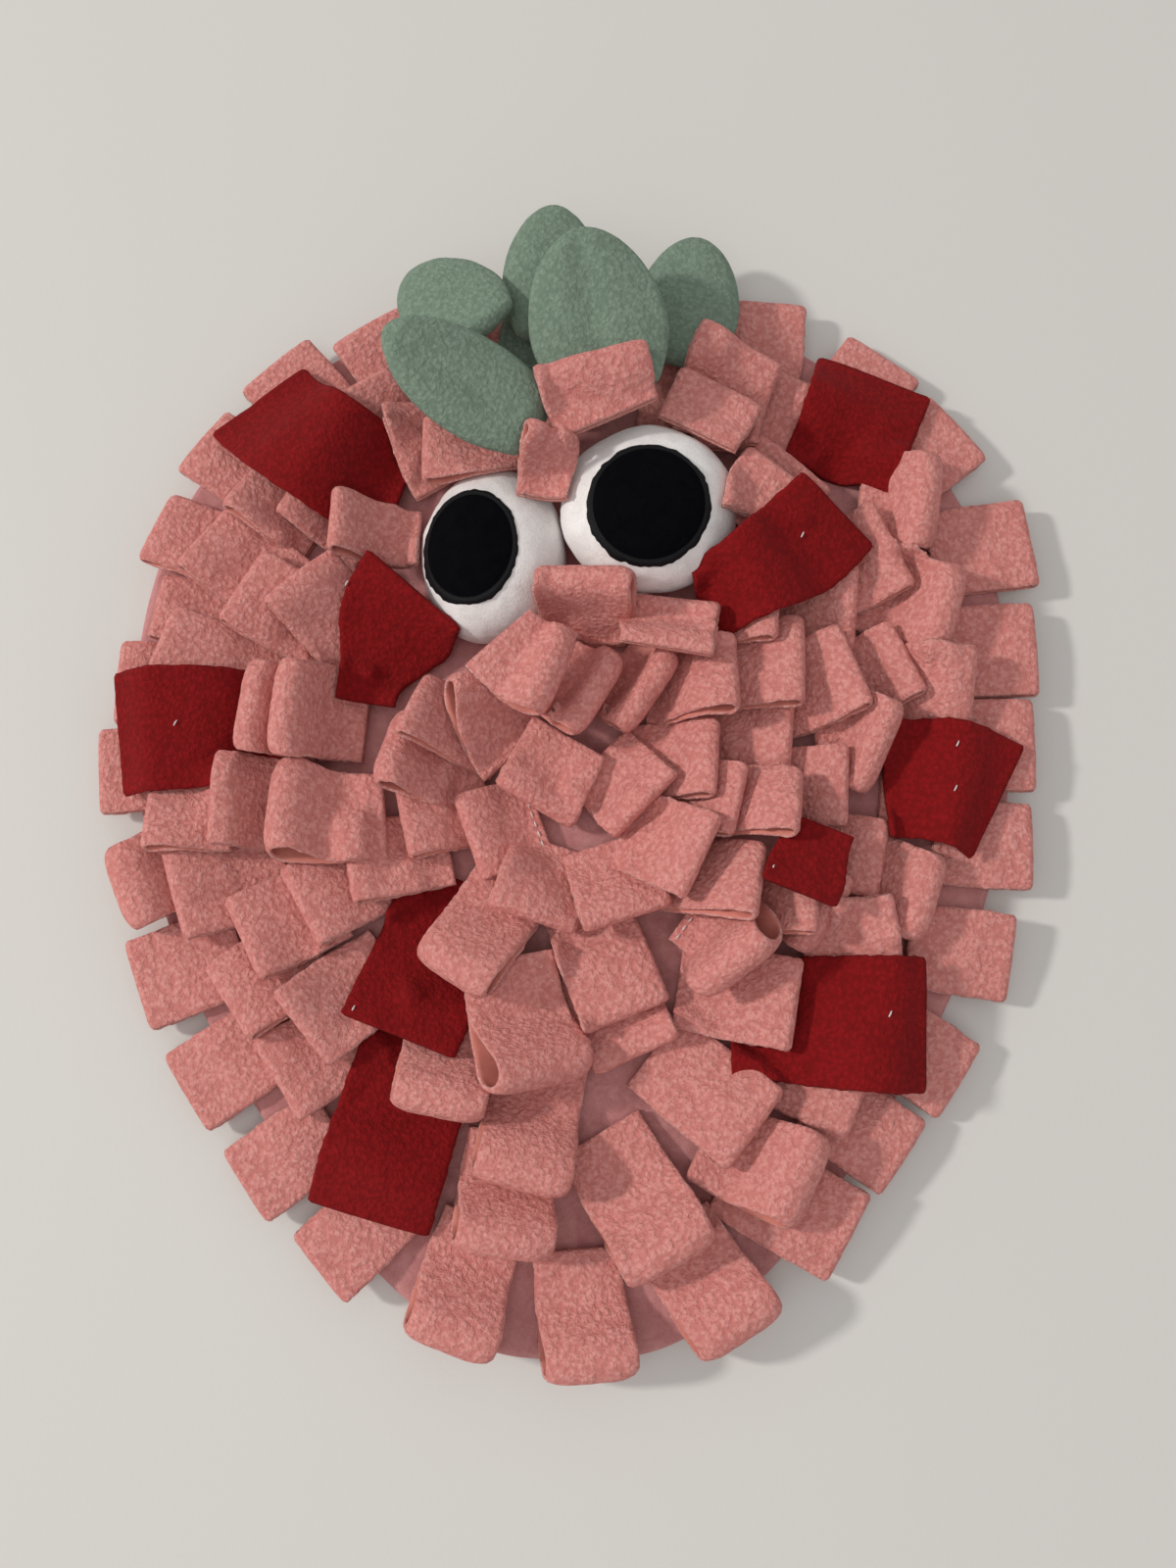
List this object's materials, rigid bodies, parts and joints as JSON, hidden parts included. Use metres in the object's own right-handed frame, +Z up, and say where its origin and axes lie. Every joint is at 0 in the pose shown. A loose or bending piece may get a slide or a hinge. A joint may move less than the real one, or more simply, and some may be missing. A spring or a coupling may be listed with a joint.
{
  "type": "snuffle mat",
  "caption": "Egg-shaped soft pad covered with rows of folded fleece loops, with bigger red tabs, stuffed leaves at one end and two plain round stuffed eyes.",
  "frame": {"origin": "middle of the whole mat, on the surface that it rests on", "axes": "+Y towards the leaves, along the long way; +Z up, away from the surface; +X to the right seen from above"},
  "size_m": [0.3663, 0.4383, 0.0592],
  "materials": {
    "velour": "short-pile mauve pink velour",
    "pink_fleece": "matt pink fleece, pebbled pile",
    "red_felt": "matt deep red fleece felt",
    "green_fleece": "matt sage green fleece",
    "white_plush": "matt white plush",
    "black_velvet": "black velvet"
  },
  "bodies": {
    "root": {"pad": "velour", "outer_1": "pink_fleece", "outer_2": "pink_fleece", "outer_3": "pink_fleece", "outer_4": "pink_fleece", "outer_5": "pink_fleece", "outer_6": "pink_fleece", "outer_7": "pink_fleece", "outer_8": "pink_fleece", "second_1": "pink_fleece", "second_2": "pink_fleece", "second_3": "pink_fleece", "second_4": "pink_fleece", "second_5": "pink_fleece", "second_6": "pink_fleece", "second_7": "pink_fleece", "third_1": "pink_fleece", "third_2": "pink_fleece", "third_3": "pink_fleece", "third_4": "pink_fleece", "third_5": "pink_fleece", "third_6": "pink_fleece", "third_7": "pink_fleece", "third_8": "pink_fleece", "third_9": "pink_fleece", "inner_1": "pink_fleece", "inner_2": "pink_fleece", "inner_3": "pink_fleece", "inner_4": "pink_fleece", "inner_5": "pink_fleece", "inner_6": "pink_fleece", "inner_7": "pink_fleece", "inner_8": "pink_fleece", "crown_1": "pink_fleece", "middle_1": "pink_fleece", "middle_2": "pink_fleece", "middle_3": "pink_fleece", "middle_4": "pink_fleece", "middle_5": "pink_fleece", "middle_6": "pink_fleece", "tab_1": "red_felt", "tab_2": "red_felt", "tab_3": "red_felt", "tab_4": "red_felt", "tab_5": "red_felt", "tab_6": "red_felt", "tab_7": "red_felt", "tab_8": "red_felt", "tab_9": "red_felt", "tab_10": "red_felt", "leaf_1": "green_fleece", "leaf_2": "green_fleece", "leaf_3": "green_fleece", "leaf_4": "green_fleece", "leaf_5": "green_fleece", "leaf_6": "green_fleece", "eye_left": "white_plush", "eye_right": "white_plush", "pupil_left": "black_velvet", "pupil_right": "black_velvet"}
  },
  "joints": []
}
